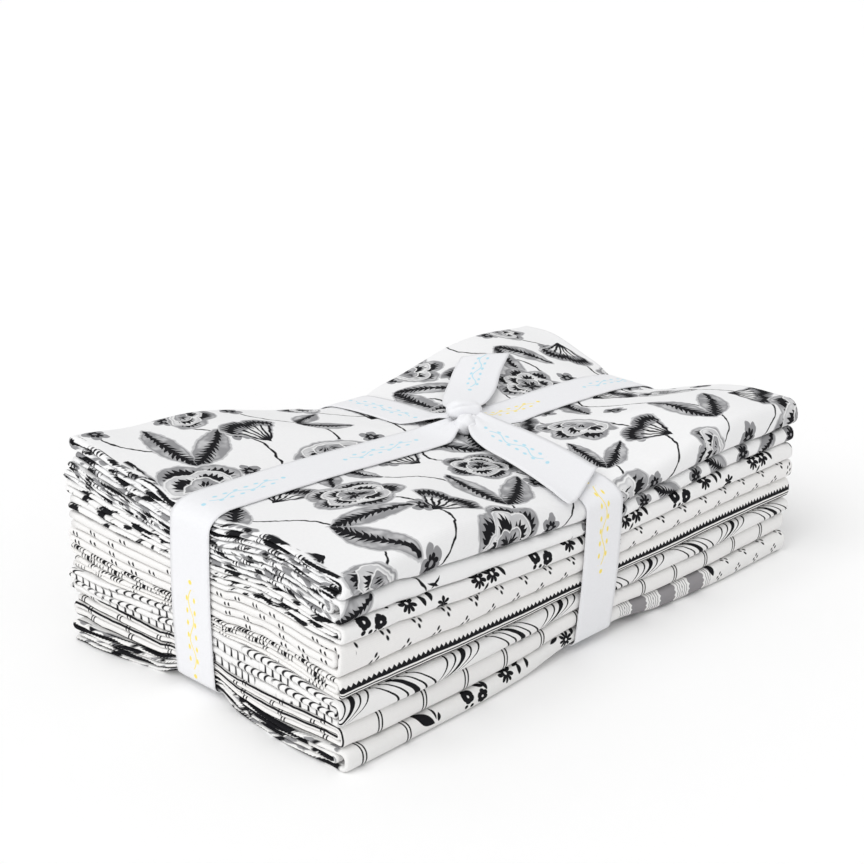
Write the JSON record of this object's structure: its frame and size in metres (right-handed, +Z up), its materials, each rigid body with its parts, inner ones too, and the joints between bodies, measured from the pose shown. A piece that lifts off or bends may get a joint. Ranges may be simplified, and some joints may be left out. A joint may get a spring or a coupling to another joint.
{
  "type": "fabric bundle",
  "caption": "Stack of folded printed cotton cuts, tied crosswise and lengthwise with one flat ribbon that is knotted on top.",
  "frame": {"origin": "centre of the bounding box's bottom, on the surface that the bundle lies on", "axes": "+X along the long side, towards the raw ends of the cuts; +Y from the long front folds to the back; +Z up"},
  "size_m": [0.2382, 0.1362, 0.0705],
  "materials": {
    "print_large_floral": "matte plain-weave cotton, white with a large black and grey floral print",
    "print_leaf_stems": "matte plain-weave cotton, white with black leaves and stems",
    "print_daisies": "matte plain-weave cotton, white with small black flowers",
    "print_small_dots": "matte plain-weave cotton, off-white with small clusters of black dots",
    "print_sawtooth_border": "matte plain-weave cotton, off-white with black sawtooth borders",
    "print_arcs": "matte plain-weave cotton, off-white with groups of curved black lines",
    "print_pin_lines": "matte plain-weave cotton, off-white with fine pairs of black lines",
    "print_mixed": "matte plain-weave cotton, off-white with bands of black and grey motifs",
    "ribbon": "satin ribbon, white with a faint blue cast"
  },
  "bodies": {
    "root": {"cut_1_large_floral": "print_large_floral", "cut_2_leaf_stems": "print_leaf_stems", "cut_3_daisies": "print_daisies", "cut_4_small_dots": "print_small_dots", "cut_5_sawtooth_border": "print_sawtooth_border", "cut_6_arcs": "print_arcs", "cut_7_pin_lines": "print_pin_lines", "cut_8_mixed_print": "print_mixed", "ribbon_lengthwise": "ribbon", "ribbon_crosswise": "ribbon", "tail_front": "ribbon", "tail_back": "ribbon", "knot": "ribbon"}
  },
  "joints": []
}
